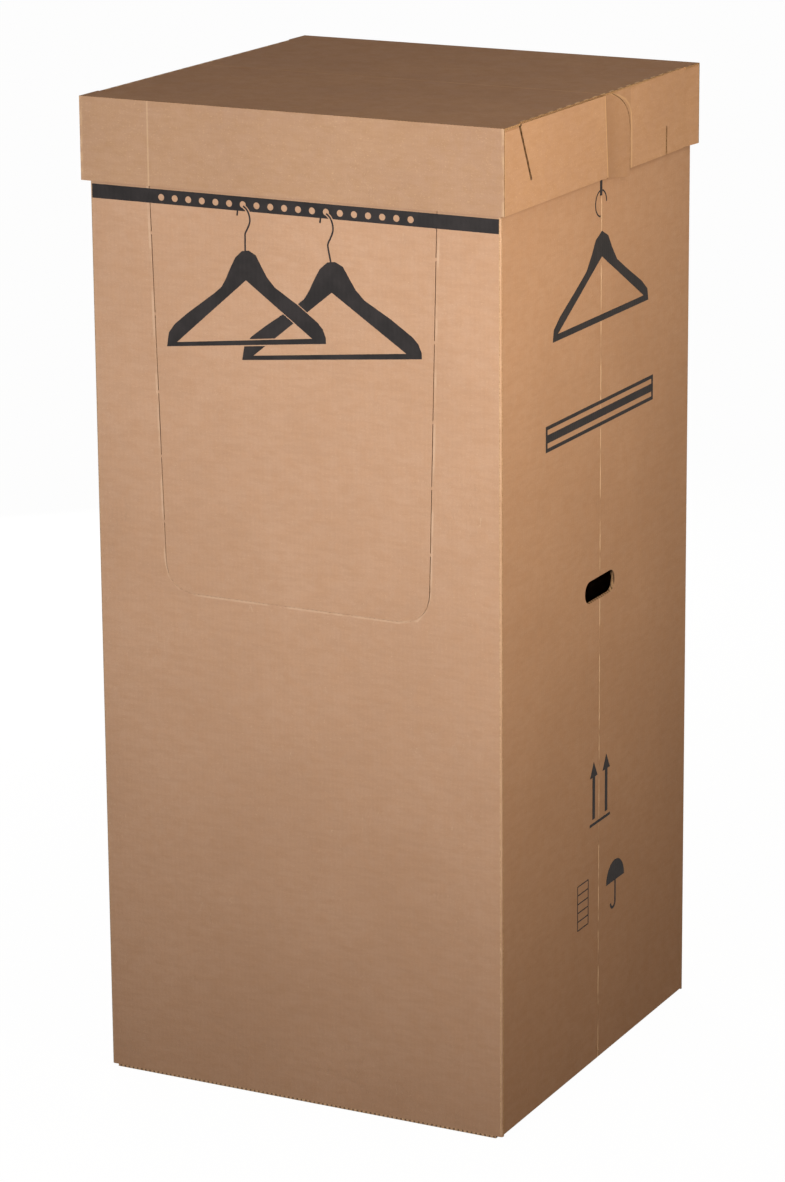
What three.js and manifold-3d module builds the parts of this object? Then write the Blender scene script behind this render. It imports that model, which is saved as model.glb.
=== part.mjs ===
// Wardrobe moving box: a tall corrugated carton with a lift-off lid and a steel rail for clothes hangers.
// Millimetres, +Z up. The origin is the middle of the footprint, on the floor. The printed front faces -Y
// and the printed right side faces +X.
import * as THREE from "three";
import { mergeVertices } from "three/addons/utils/BufferGeometryUtils.js";
import Module from "manifold-3d";

const wasm = await Module();
wasm.setup();

// Driving dimensions of the carton
const cartonWidth = 600;
const cartonDepth = 600;
const cartonHeight = 1352.5;
const cartonBoard = 5;
const foldRadius = 3;
const sheetGap = 0.3; // air between two sheets that lie on each other
const flapMeeting = 1.5; // gap where two bottom flaps meet
const cornerSlotInset = 3; // from the corner to the slot between neighbouring bottom flaps
const cornerSlotWidth = 6.5;
const cornerSlotHeight = 3;
const creaseWidth = 1.6;
const creaseDepth = 0.7;
const creaseOffset = 4; // the side creases, their rail slots and hand holes lie a little behind the middle
const glueTabWidth = 35;
const glueTabMargin = 8;
const glueTabBoard = 3; // the tab is crushed when it is glued

// Hand holes in the two side walls
const handLength = 96;
const handHeight = 31;
const handCentreZ = 683.5;

// Access flap, a U-shaped die cut in the front wall that its nicks still hold
const flapKerf = 1;
const flapFootZ = 696;
const flapHalfFoot = 195.5;
const flapHalfRim = 212.5;
const flapCorner = 45;
const flapRimStrip = 14; // uncut board above the cut, hidden under the lid
const nickLength = 4;
const nickHeights = [1180, 1072, 967, 880, 791];
const nickStations = [-95, 0, 95];

// Hanging rail, a perforated flat bar on edge
const railThickness = 2;
const railHeight = 24;
const railTabHeight = 16;
const railBelowRim = 2;
const railPlay = 0.5;
const railHole = 9;
const railPitch = 20;
const railEndMargin = 20;

// Lid
const lidBoard = 2.5;
const lidPlay = 0.4; // from the side wall to the innermost layer of the lid's sides
const skirtHeight = 111.5;
const cornerLand = 47; // from each corner of the lid to the end of the folded side skirt
const skirtKerf = 1.5;
const earSlitFoot = 75; // depth of the slanted slit in the outer ear
const earSlitWidth = 2.4;
const earSlitLean = 33;
const earTopDrop = 1.2; // the outer ear's upper edge stops this far under the top
const earEndTop = -3;
const earEndFoot = 7;
const tongueEdge = 81.5; // from the lid's middle to the tongue's rounded edge
const tongueStart = 13;
const tongueRound = 60; // height of the tongue's rounded corner
const tongueDrop = 10.5; // the tongue's end hangs this far below the skirt
const tongueRoot = 20;
const slotPlace = 203.5;
const slotHeight = 38;
const slotWidth = 2.2;
const innerEarLength = 118;
const perforationPitch = 27;
const perforationLength = 12;
const perforationDepth = 1.1;

// Printing on the front, with heights counted down from the carton's rim
const inkThickness = 0.3;
const bandBelowRim = 123.2;
const bandHeight = 19;
const bandMarginLeft = 3;
const bandMarginRight = 2;
const dotDiameter = 9;
const dotPitch = 20.27;
const dotCount = 19;
const dotFirstX = -192.2;
const dotDrop = 1; // the dots sit a little below the band's middle
const nearHanger = { dot: 6, headX: -68.1, belowRim: 184.5, reach: 120, drop: 138 };
const farHanger = { dot: 12, headX: 57.8, belowRim: 188.7, reach: 133, drop: 141.4 };
const hangerGap = 1.5; // bare board round whatever is drawn in front
const hookStroke = 2.2;
const hookHalo = 1.7;
const hookReach = 10;
const hookTipReach = 8.7;
const hookTipDrop = 15;

// Printing on the right side
const markCentreY = 4;
const sideHanger = { belowRim: 180.5, reach: 152.7, drop: 121.5, centreY: 5.5 };
const sideHookRadius = 17.5;
const sideHookBelowRim = 143;
const railMarkWidth = 7;
const railMarkBelowRim = 132.5;
const railMarkY = 2;
const stripeHalfLength = 172;
const stripeBelowRim = 427.5;
const stripeHeight = 35;
const stripeStroke = 5;
const stripeCore = 11;
const arrowSpacing = 40.8;
const arrowCentreY = 7;
const arrowTipZ = 440.5;
const arrowFootZ = 358.5;
const arrowHeadWidth = 24;
const arrowHeadHeight = 21.5;
const arrowShaft = 8;
const arrowBarLength = 66.5;
const arrowBarZ = 351.2;
const arrowBarStroke = 4;
const panelCentreY = -47.5;
const panelCentreZ = 245;
const panelWidth = 36;
const panelHeight = 65;
const panelStroke = 1.6;
const panelRules = 4;
const umbrellaY = 59;
const umbrellaZ = 244;
const umbrellaRadius = 30;
const umbrellaHeight = 68;
const umbrellaStroke = 4;

// Places that follow from the sizes above
const halfWidth = cartonWidth / 2;
const halfDepth = cartonDepth / 2;
const innerHalfWidth = halfWidth - cartonBoard;
const innerHalfDepth = halfDepth - cartonBoard;
const sideFoldZ = cartonBoard + sheetGap;
const layerStep = lidBoard + sheetGap;
const lidUnderZ = cartonHeight + sheetGap;
const lidTopZ = lidUnderZ + lidBoard;
const skirtFootZ = lidTopZ - skirtHeight;
const lidHalf = halfWidth + lidPlay + 3 * layerStep - sheetGap;
const lidHalfY = halfDepth + lidPlay + 3 * layerStep - sheetGap;
const foldEnd = lidHalfY - cornerLand;
const railTopZ = cartonHeight - railBelowRim;
const railSlotFootZ = railTopZ - railTabHeight - sheetGap;
const bandCentreZ = cartonHeight - bandBelowRim;
const dotZ = bandCentreZ - dotDrop;

const kraft = { color: 0xb98d66, roughness: 0.85, metalness: 0 };
const lidKraft = { color: 0xc0935f, roughness: 0.85, metalness: 0 };
const ink = { color: 0x35322f, roughness: 0.7, metalness: 0 };
const steel = { color: 0x9a9ca0, roughness: 0.4, metalness: 1 };

// A closed geometry as a solid for joining and cutting.
function solidOf(geometry) {
  const bare = geometry.clone();
  bare.deleteAttribute("normal");
  bare.deleteAttribute("uv");
  const merged = mergeVertices(bare, 1e-4);
  return new wasm.Manifold(
    new wasm.Mesh({
      numProp: 3,
      vertProperties: merged.attributes.position.array,
      triVerts: new Uint32Array(merged.index.array),
    }),
  );
}

function joined(solids) {
  return solids.reduce((whole, solid) => whole.add(solid));
}

function without(solid, cuts) {
  return cuts.reduce((rest, cut) => rest.subtract(cut), solid);
}

function meshOf(name, solid, finish) {
  const made = solid.getMesh();
  const geometry = new THREE.BufferGeometry();
  geometry.setAttribute("position", new THREE.BufferAttribute(made.vertProperties, 3));
  geometry.setIndex(new THREE.BufferAttribute(made.triVerts, 1));
  const faceted = geometry.toNonIndexed();
  faceted.computeVertexNormals();
  const mesh = new THREE.Mesh(faceted, new THREE.MeshStandardMaterial(finish));
  mesh.name = name;
  return mesh;
}

// An outline pushed from one plane to another: along Z its plane is (X, Y), along X it is (Y, Z) and
// along Y it is (X, Z).
const pushBases = {
  z: new THREE.Matrix4(),
  x: new THREE.Matrix4().makeBasis(
    new THREE.Vector3(0, 1, 0),
    new THREE.Vector3(0, 0, 1),
    new THREE.Vector3(1, 0, 0),
  ),
  y: new THREE.Matrix4().makeBasis(
    new THREE.Vector3(1, 0, 0),
    new THREE.Vector3(0, 0, 1),
    new THREE.Vector3(0, -1, 0),
  ),
};

function pushed(outline, axis, low, high, curveSegments = 10) {
  const depth = high - low;
  const geometry = new THREE.ExtrudeGeometry(outline, { depth, bevelEnabled: false, curveSegments });
  geometry.applyMatrix4(pushBases[axis]);
  const start = { x: [low, 0, 0], y: [0, high, 0], z: [0, 0, low] }[axis];
  geometry.translate(...start);
  return solidOf(geometry);
}

function block(x, y, z) {
  const geometry = new THREE.BoxGeometry(x[1] - x[0], y[1] - y[0], z[1] - z[0]);
  geometry.translate((x[0] + x[1]) / 2, (y[0] + y[1]) / 2, (z[0] + z[1]) / 2);
  return solidOf(geometry);
}

function polygon(points) {
  return new THREE.Shape(points.map(([u, v]) => new THREE.Vector2(u, v)));
}

function roundedRectangle(halfU, halfV, radius) {
  const shape = new THREE.Shape();
  shape.moveTo(halfU, -halfV + radius);
  shape.absarc(halfU - radius, halfV - radius, radius, 0, Math.PI / 2);
  shape.absarc(-halfU + radius, halfV - radius, radius, Math.PI / 2, Math.PI);
  shape.absarc(-halfU + radius, -halfV + radius, radius, Math.PI, Math.PI * 1.5);
  shape.absarc(halfU - radius, -halfV + radius, radius, Math.PI * 1.5, Math.PI * 2);
  return shape;
}

function disc(u, v, radius) {
  return new THREE.Shape().absarc(u, v, radius, 0, Math.PI * 2);
}

// A line of even width through points, as an outline with square ends.
function strokeOutline(points, width) {
  const half = width / 2;
  const left = [];
  const right = [];
  points.forEach((point, i) => {
    const before = points[Math.max(i - 1, 0)];
    const after = points[Math.min(i + 1, points.length - 1)];
    const along = after.clone().sub(before).normalize();
    const across = new THREE.Vector2(-along.y, along.x).multiplyScalar(half);
    left.push(point.clone().add(across));
    right.push(point.clone().sub(across));
  });
  return new THREE.Shape([...right, ...left.reverse()]);
}

function turnedHalfRound(solid) {
  return solid.rotate([0, 0, 180]);
}

// Walls: one ring with rounded vertical folds. Its foot stands on the floor at the front and the back,
// where the outer flaps fold, and one board higher at the sides, where the inner flaps fold.
function wallRing() {
  const outline = roundedRectangle(halfWidth, halfDepth, foldRadius);
  outline.holes.push(
    new THREE.Path([
      new THREE.Vector2(-innerHalfWidth, -innerHalfDepth),
      new THREE.Vector2(-innerHalfWidth, innerHalfDepth),
      new THREE.Vector2(innerHalfWidth, innerHalfDepth),
      new THREE.Vector2(innerHalfWidth, -innerHalfDepth),
    ]),
  );
  return pushed(outline, "z", cornerSlotHeight, cartonHeight, 4);
}

const slotStart = halfWidth - cornerSlotInset - cornerSlotWidth;

function outerFlaps() {
  const front = block([-slotStart, slotStart], [-halfDepth, -flapMeeting / 2], [0, cartonBoard]);
  const fold = block(
    [-slotStart, slotStart],
    [-halfDepth, -innerHalfDepth],
    [cartonBoard / 2, cornerSlotHeight + cartonBoard],
  );
  const flap = front.add(fold);
  return flap.add(turnedHalfRound(flap));
}

function innerFlaps() {
  const flap = block(
    [flapMeeting / 2, halfWidth - cartonBoard / 2],
    [-innerHalfDepth + sheetGap, innerHalfDepth - sheetGap],
    [sideFoldZ, sideFoldZ + cartonBoard],
  );
  return flap.add(turnedHalfRound(flap));
}

function sideFootCuts() {
  const reach = innerHalfDepth;
  const cut = block([innerHalfWidth - 1, halfWidth + 1], [-reach, reach], [-1, sideFoldZ]);
  return [cut, turnedHalfRound(cut)];
}

// The tab that closes the sheet into a ring, glued inside the back wall at its left end.
function glueTab() {
  return block(
    [-innerHalfWidth, -innerHalfWidth + glueTabWidth],
    [innerHalfDepth - glueTabBoard, innerHalfDepth + cartonBoard / 2],
    [glueTabMargin + 2 * sideFoldZ, cartonHeight - glueTabMargin],
  );
}

// The butt seam that the glued corner leaves on the outside of the back wall.
function glueSeam() {
  const seamX = -halfWidth + cartonBoard;
  return block(
    [seamX - creaseDepth / 2, seamX + creaseDepth / 2],
    [halfDepth - creaseDepth, halfDepth + 1],
    [0, cartonHeight + 1],
  );
}

// Crease down each side wall, where the carton folds flat for storage.
function sideCreases() {
  const low = creaseOffset - creaseWidth / 2;
  const high = creaseOffset + creaseWidth / 2;
  return [-1, 1].map((side) => {
    const groove = polygon([
      [side * (halfWidth + 1), high],
      [side * halfWidth, high],
      [side * (halfWidth - creaseDepth), creaseOffset],
      [side * halfWidth, low],
      [side * (halfWidth + 1), low],
    ]);
    return pushed(groove, "z", 0, cartonHeight + 1);
  });
}

function handHoles() {
  const shape = roundedRectangle(handLength / 2, handHeight / 2, handHeight / 2 - 0.01);
  const cut = pushed(shape, "x", -halfWidth - 1, halfWidth + 1, 8);
  return [cut.translate([0, creaseOffset, handCentreZ])];
}

function railSlots() {
  const low = creaseOffset - railThickness / 2 - railPlay;
  const high = creaseOffset + railThickness / 2 + railPlay;
  return [block([-halfWidth - 1, halfWidth + 1], [low, high], [railSlotFootZ, cartonHeight + 1])];
}

// The U of the access flap as a closed outline, moved out or in by half a kerf.
function accessOutline(offset) {
  const rimZ = cartonHeight - flapRimStrip;
  const lean = (flapHalfRim - flapHalfFoot) / (rimZ - flapFootZ);
  const cornerZ = flapFootZ + flapCorner;
  const halfAt = (z) => flapHalfFoot + (z - flapFootZ) * lean + offset;
  const shape = new THREE.Shape();
  shape.moveTo(-halfAt(rimZ), rimZ);
  shape.lineTo(-halfAt(cornerZ), cornerZ);
  shape.quadraticCurveTo(
    -halfAt(flapFootZ),
    flapFootZ - offset,
    -halfAt(flapFootZ) + flapCorner + offset,
    flapFootZ - offset,
  );
  shape.lineTo(halfAt(flapFootZ) - flapCorner - offset, flapFootZ - offset);
  shape.quadraticCurveTo(halfAt(flapFootZ), flapFootZ - offset, halfAt(cornerZ), cornerZ);
  shape.lineTo(halfAt(rimZ), rimZ);
  shape.closePath();
  return shape;
}

function accessCut() {
  const back = -innerHalfDepth + 1;
  const outer = pushed(accessOutline(flapKerf / 2), "y", -halfDepth - 1, back, 8);
  const inner = pushed(accessOutline(-flapKerf / 2), "y", -halfDepth - 2, back + 1, 8);
  const depth = [-halfDepth - 3, back + 2];
  const sideNicks = nickHeights.map((z) =>
    block([-halfWidth, halfWidth], depth, [z - nickLength / 2, z + nickLength / 2]),
  );
  const footNicks = nickStations.map((x) =>
    block([x - nickLength / 2, x + nickLength / 2], depth, [flapFootZ - flapCorner, flapFootZ + flapCorner / 2]),
  );
  return [without(outer, [inner, ...sideNicks, ...footNicks])];
}

function cartonBody() {
  const sheet = joined([
    without(wallRing(), sideFootCuts()),
    outerFlaps(),
    innerFlaps(),
    glueTab(),
  ]);
  return without(sheet, [
    glueSeam(),
    ...sideCreases(),
    ...handHoles(),
    ...railSlots(),
    ...accessCut(),
  ]);
}

// Hanging rail: a flat bar on edge, with a narrower tab at each end that lies in a rim slot.
function hangingRail() {
  const bladeEnd = innerHalfWidth - railPlay;
  const tabEnd = halfWidth - railPlay;
  const shoulderZ = railTopZ - railTabHeight;
  const footZ = railTopZ - railHeight;
  const outline = polygon([
    [-bladeEnd, footZ],
    [bladeEnd, footZ],
    [bladeEnd, shoulderZ],
    [tabEnd, shoulderZ],
    [tabEnd, railTopZ],
    [-tabEnd, railTopZ],
    [-tabEnd, shoulderZ],
    [-bladeEnd, shoulderZ],
  ]);
  const pairs = Math.floor((bladeEnd - railEndMargin) / railPitch);
  const middleZ = (railTopZ + footZ) / 2;
  for (let i = -pairs; i <= pairs; i += 1) {
    outline.holes.push(new THREE.Path().absarc(i * railPitch, middleZ, railHole / 2, 0, Math.PI * 2));
  }
  const bar = pushed(outline, "y", -railThickness / 2, railThickness / 2, 7);
  return bar.translate([0, creaseOffset, 0]);
}

// The lid's side layers, counted outwards from the carton's wall.
function layerX(layer) {
  const inner = halfWidth + lidPlay + layer * layerStep;
  return [inner, inner + lidBoard];
}

// The rounded edge of the tongue, which the slotted half of the skirt follows one kerf away.
function tongueCurve(shape, kerf, reversed) {
  const start = [tongueStart + kerf * 2, lidTopZ];
  const end = [tongueEdge + kerf, lidTopZ - tongueRound];
  const near = [start[0] + (end[0] - start[0]) * 0.66, lidTopZ - tongueRound * 0.22];
  const far = [end[0], lidTopZ - tongueRound * 0.46];
  if (reversed) {
    shape.bezierCurveTo(...far, ...near, ...start);
  } else {
    shape.bezierCurveTo(...near, ...far, ...end);
  }
}

// Front half of the folded side skirt. It ends in the tongue that reaches past the lid's middle.
function tongueHalf() {
  const shape = new THREE.Shape();
  shape.moveTo(-foldEnd, lidTopZ);
  shape.lineTo(-foldEnd + earSlitLean, skirtFootZ + sheetGap);
  shape.lineTo(-tongueRoot, skirtFootZ + sheetGap);
  shape.lineTo(tongueEdge, skirtFootZ - tongueDrop);
  shape.lineTo(tongueEdge, lidTopZ - tongueRound);
  tongueCurve(shape, 0, true);
  shape.closePath();
  return pushed(shape, "x", ...layerX(1));
}

// Back half of the folded side skirt, with its open slot.
function slottedHalf() {
  const shape = new THREE.Shape();
  const slotHalf = slotWidth / 2;
  shape.moveTo(tongueStart + skirtKerf * 2, lidTopZ);
  tongueCurve(shape, skirtKerf, false);
  shape.lineTo(tongueEdge + skirtKerf, skirtFootZ);
  shape.lineTo(slotPlace - slotHalf, skirtFootZ);
  shape.lineTo(slotPlace - slotHalf, skirtFootZ + slotHeight);
  shape.lineTo(slotPlace + slotHalf, skirtFootZ + slotHeight);
  shape.lineTo(slotPlace + slotHalf, skirtFootZ);
  shape.lineTo(foldEnd, skirtFootZ);
  shape.lineTo(foldEnd, lidTopZ);
  shape.closePath();
  return pushed(shape, "x", ...layerX(1));
}

// Long ear of the front skirt: the outermost layer, with the slanted slit open at its upper edge.
function outerEar() {
  const slitTop = -foldEnd;
  const slitFootZ = lidTopZ - earSlitFoot;
  const slitFoot = slitTop + earSlitLean;
  const shape = polygon([
    [-lidHalfY, skirtFootZ],
    [earEndFoot, skirtFootZ],
    [earEndTop, lidTopZ - earTopDrop],
    [slitTop, lidTopZ - earTopDrop],
    [slitFoot, slitFootZ],
    [slitFoot - earSlitWidth, slitFootZ],
    [slitTop - earSlitWidth * 1.6, lidUnderZ - sheetGap],
    [-lidHalfY, lidUnderZ - sheetGap],
  ]);
  return pushed(shape, "x", ...layerX(2));
}

// Short ear of the back skirt: it leans in from the corner and lies behind the slotted half.
function innerEar() {
  const [earInner, earOuter] = layerX(0);
  const bend = foldEnd + skirtKerf;
  const end = lidHalfY - innerEarLength;
  const plan = polygon([
    [lidHalf, lidHalfY],
    [lidHalf - lidBoard, lidHalfY],
    [lidHalf - lidBoard, lidHalfY - lidBoard],
    [earInner, bend],
    [earInner, end],
    [earOuter, end],
    [earOuter, bend],
    [lidHalf, lidHalfY - lidBoard - 1],
  ]);
  return pushed(plan, "z", skirtFootZ, lidUnderZ - sheetGap);
}

function lidSide() {
  return joined([tongueHalf(), slottedHalf(), outerEar(), innerEar()]);
}

function lidTop() {
  const fold = layerX(1)[1];
  const plan = polygon([
    [lidHalf, -lidHalfY],
    [lidHalf, -foldEnd],
    [fold, -foldEnd],
    [fold, foldEnd],
    [lidHalf, foldEnd],
    [lidHalf, lidHalfY],
    [-lidHalf, lidHalfY],
    [-lidHalf, foldEnd],
    [-fold, foldEnd],
    [-fold, -foldEnd],
    [-lidHalf, -foldEnd],
    [-lidHalf, -lidHalfY],
  ]);
  return pushed(plan, "z", lidUnderZ, lidTopZ);
}

function lidFront() {
  return block([-lidHalf, lidHalf], [-lidHalfY, -lidHalfY + lidBoard], [skirtFootZ, lidTopZ]);
}

// Crease across the middle of the top, where the lid folds flat for storage.
function lidCrease() {
  const groove = polygon([
    [creaseWidth / 2, lidTopZ + 1],
    [-creaseWidth / 2, lidTopZ + 1],
    [-creaseWidth / 2, lidTopZ],
    [0, lidTopZ - creaseDepth],
    [creaseWidth / 2, lidTopZ],
  ]);
  return pushed(groove, "x", -lidHalf - 1, lidHalf + 1);
}

// Short cuts along the fold between the top and the right side skirt.
function foldPerforations() {
  const fold = layerX(1)[1];
  const count = Math.floor((2 * foldEnd) / perforationPitch);
  const first = (-(count - 1) * perforationPitch) / 2;
  return Array.from({ length: count }, (_, i) => {
    const middle = first + i * perforationPitch;
    return block(
      [fold - perforationDepth, fold + 0.1],
      [middle - perforationLength / 2, middle + perforationLength / 2],
      [lidTopZ - perforationDepth, lidTopZ + 1],
    );
  });
}

function lidSheet() {
  const front = lidFront();
  const side = lidSide();
  const sheet = joined([lidTop(), front, turnedHalfRound(front), side, turnedHalfRound(side)]);
  const perforations = foldPerforations();
  return without(sheet, [lidCrease(), ...perforations, ...perforations.map(turnedHalfRound)]);
}

// Clothes hangers as fractions of their reach and drop from the top of the head. The front ones are drawn
// turned, so their left arm hangs lower.
const turnedOutline = [
  [-0.042, -0.007],
  [-0.125, -0.075],
  [-0.193, -0.188],
  [-0.247, -0.29],
  [-0.302, -0.369],
  [-0.389, -0.434],
  [-0.565, -0.547],
  [-0.741, -0.661],
  [-0.895, -0.772],
  [-0.973, -0.862],
  [-1, -1],
  [0.975, -0.815],
  [0.973, -0.757],
  [0.938, -0.68],
  [0.879, -0.623],
  [0.642, -0.475],
  [0.358, -0.326],
  [0.265, -0.238],
  [0.191, -0.13],
  [0.127, -0.033],
  [0.042, 0.004],
];
const turnedOpening = [
  [0.003, -0.283],
  [0.808, -0.779],
  [-0.874, -0.948],
];
const straightHalf = [
  [0.131, -0.078],
  [0.208, -0.218],
  [0.318, -0.383],
  [0.55, -0.547],
  [0.858, -0.753],
  [0.98, -0.868],
  [1, -1],
];
const straightOpening = [
  [0, -0.284],
  [0.9, -0.928],
  [-0.9, -0.928],
];

function hangerOutline(outline, opening, place, shift = [0, 0]) {
  const put = ([u, v]) =>
    new THREE.Vector2(
      place.centre + u * place.reach + shift[0],
      cartonHeight - place.belowRim + v * place.drop + shift[1],
    );
  const shape = new THREE.Shape(outline.map(put));
  shape.holes.push(new THREE.Path(opening.map(put)));
  return shape;
}

function turnedHanger(hanger, shift) {
  const place = { ...hanger, centre: hanger.headX };
  return hangerOutline(turnedOutline, turnedOpening, place, shift);
}

function inkFront(outline, curveSegments) {
  return pushed(outline, "y", -halfDepth - inkThickness, -halfDepth, curveSegments);
}

function inkSide(outline, curveSegments) {
  return pushed(outline, "x", halfWidth, halfWidth + inkThickness, curveSegments);
}

// The hook of a front hanger comes out of its dot, bows to the right and runs down into the head.
function frontHook(hanger, stroke) {
  const dotX = dotFirstX + hanger.dot * dotPitch;
  const headZ = cartonHeight - hanger.belowRim;
  const drop = dotZ - headZ;
  const bow = [
    [0.05, 0.03],
    [0.55, 0.1],
    [0.92, 0.22],
    [0.99, 0.37],
    [0.62, 0.52],
    [0.3, 0.62],
    [0.26, 0.72],
  ].map(([u, v]) => new THREE.Vector2(dotX + u * hookReach, dotZ - v * drop));
  const path = new THREE.SplineCurve([...bow, new THREE.Vector2(hanger.headX, headZ - hookStroke)]);
  return inkFront(strokeOutline(path.getPoints(24), stroke));
}

// The hook's tip shows below the band, to the left of the dot.
function hookTip(hanger) {
  const dotX = dotFirstX + hanger.dot * dotPitch;
  const tip = [
    new THREE.Vector2(dotX - hookTipReach + hookHalo / 2, bandCentreZ - bandHeight / 2 + 1),
    new THREE.Vector2(dotX - hookTipReach, dotZ - hookTipDrop),
  ];
  return inkFront(strokeOutline(tip, hookStroke));
}

// The printed rail: a solid band with a row of bare dots, cut open where the hooks pass over it.
function bandMark() {
  const left = -halfWidth + bandMarginLeft;
  const right = halfWidth - bandMarginRight - foldRadius / 3;
  const outline = polygon([
    [left, bandCentreZ - bandHeight / 2],
    [right, bandCentreZ - bandHeight / 2],
    [right, bandCentreZ + bandHeight / 2],
    [left, bandCentreZ + bandHeight / 2],
  ]);
  for (let i = 0; i < dotCount; i += 1) {
    outline.holes.push(
      new THREE.Path().absarc(dotFirstX + i * dotPitch, dotZ, dotDiameter / 2, 0, Math.PI * 2),
    );
  }
  const band = joined([inkFront(outline, 8), hookTip(nearHanger), hookTip(farHanger)]);
  const halo = hookStroke + 2 * hookHalo;
  return without(band, [frontHook(nearHanger, halo), frontHook(farHanger, halo)]);
}

function nearHangerMark() {
  return inkFront(turnedHanger(nearHanger)).add(frontHook(nearHanger, hookStroke));
}

// The far hanger is broken where the near one is drawn over it, so one stretch of its arm stands alone.
function farHangerMarks() {
  const near = inkFront(turnedHanger(nearHanger));
  const halo = [
    [hangerGap, 0],
    [-hangerGap, 0],
    [0, hangerGap],
    [0, -hangerGap],
  ].map((shift) => inkFront(turnedHanger(nearHanger, shift)));
  const whole = inkFront(turnedHanger(farHanger)).add(frontHook(farHanger, hookStroke));
  const parts = without(whole, [near, ...halo]).decompose();
  return parts.sort((a, b) => b.volume() - a.volume());
}

// The rail seen from its end, with the hook that goes over it.
function railMark() {
  const half = railMarkWidth / 2;
  const bar = polygon([
    [railMarkY - half, cartonHeight - railMarkBelowRim],
    [railMarkY + half, cartonHeight - railMarkBelowRim],
    [railMarkY + half, skirtFootZ],
    [railMarkY - half, skirtFootZ],
  ]);
  const hookZ = cartonHeight - sideHookBelowRim;
  const hook = new THREE.Path().absarc(railMarkY, hookZ, sideHookRadius, 0, Math.PI * 1.47);
  return inkSide(bar).add(inkSide(strokeOutline(hook.getPoints(22), hookStroke)));
}

function sideHangerMark() {
  const mirrored = straightHalf.map(([u, v]) => [-u, v]).reverse();
  const outline = [[0, 0], ...straightHalf, ...mirrored].reverse();
  const place = { ...sideHanger, centre: sideHanger.centreY };
  return inkSide(hangerOutline(outline, straightOpening, place));
}

// A plain striped block: two rules and a core line, closed at both ends.
function stripeBlock() {
  const centreZ = cartonHeight - stripeBelowRim;
  const inner = stripeHalfLength - stripeStroke;
  const rectangle = (half, low, high) => {
    const ends = [markCentreY - half, markCentreY + half];
    return block([halfWidth, halfWidth + inkThickness], ends, [centreZ + low, centreZ + high]);
  };
  const edge = stripeHeight / 2;
  const whole = rectangle(stripeHalfLength, -edge, edge);
  const upper = rectangle(inner, stripeCore / 2, edge - stripeStroke);
  const lower = rectangle(inner, -edge + stripeStroke, -stripeCore / 2);
  return without(whole, [upper, lower].map((gap) => gap.scale([2, 1, 1]).translate([-halfWidth, 0, 0])));
}

function arrow(centreY) {
  const halfShaft = arrowShaft / 2;
  const halfHead = arrowHeadWidth / 2;
  const headZ = arrowTipZ - arrowHeadHeight;
  return inkSide(
    polygon([
      [centreY - halfShaft, arrowFootZ],
      [centreY + halfShaft, arrowFootZ],
      [centreY + halfShaft, headZ],
      [centreY + halfHead, headZ],
      [centreY, arrowTipZ],
      [centreY - halfHead, headZ],
      [centreY - halfShaft, headZ],
    ]),
  );
}

function arrowBar() {
  const half = arrowBarLength / 2;
  return inkSide(
    polygon([
      [arrowCentreY - half, arrowBarZ - arrowBarStroke / 2],
      [arrowCentreY + half, arrowBarZ - arrowBarStroke / 2],
      [arrowCentreY + half, arrowBarZ + arrowBarStroke / 2],
      [arrowCentreY - half, arrowBarZ + arrowBarStroke / 2],
    ]),
  );
}

// A ruled form panel: a thin frame with plain lines to write on.
function formPanel() {
  const rows = panelRules + 1;
  const rowHeight = (panelHeight - panelStroke) / rows;
  const frame = inkSide(roundedRectangle(panelWidth / 2, panelHeight / 2, panelStroke), 2);
  const side = panelWidth / 2 - panelStroke;
  const depth = [halfWidth - 1, halfWidth + 1];
  const cells = Array.from({ length: rows }, (_, i) => {
    const low = -panelHeight / 2 + panelStroke + i * rowHeight;
    return block(depth, [-side, side], [low, low + rowHeight - panelStroke]);
  });
  return without(frame, cells).translate([0, panelCentreY, panelCentreZ]);
}

// An umbrella for goods that stay dry: a half-round canopy on a stick with a crook.
function umbrella() {
  const topZ = umbrellaZ + umbrellaHeight / 2;
  const rimZ = topZ - umbrellaRadius;
  const crook = umbrellaRadius / 4;
  const canopy = new THREE.Shape().absarc(umbrellaY, rimZ, umbrellaRadius, 0, Math.PI);
  const stickEnd = umbrellaZ - umbrellaHeight / 2 + crook;
  const hook = new THREE.Path();
  hook.moveTo(umbrellaY, rimZ + umbrellaStroke);
  hook.lineTo(umbrellaY, stickEnd);
  hook.absarc(umbrellaY - crook, stickEnd, crook, 0, -Math.PI, true);
  return inkSide(canopy, 8).add(inkSide(strokeOutline(hook.getPoints(6), umbrellaStroke)));
}

const [farHangerMark, farArmMark] = farHangerMarks();
const pieces = [
  ["carton_body", cartonBody(), kraft],
  ["lid", lidSheet(), lidKraft],
  ["hanging_rail", hangingRail(), steel],
  ["front_band_print", bandMark(), ink],
  ["front_hanger_near_print", nearHangerMark(), ink],
  ["front_hanger_far_print", farHangerMark, ink],
  ["front_hanger_arm_print", farArmMark, ink],
  ["side_rail_print", railMark(), ink],
  ["side_hanger_print", sideHangerMark(), ink],
  ["side_stripe_print", stripeBlock(), ink],
  ["side_arrow_front_print", arrow(arrowCentreY - arrowSpacing / 2), ink],
  ["side_arrow_back_print", arrow(arrowCentreY + arrowSpacing / 2), ink],
  ["side_arrow_bar_print", arrowBar(), ink],
  ["side_form_print", formPanel(), ink],
  ["side_umbrella_print", umbrella(), ink],
];

const box = new THREE.Group();
box.name = "wardrobe_box";
pieces.forEach(([name, solid, finish]) => box.add(meshOf(name, solid, finish)));

export default box;
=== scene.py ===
import math
import random

import bmesh
import bpy
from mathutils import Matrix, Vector
from mathutils.bvhtree import BVHTree


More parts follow.
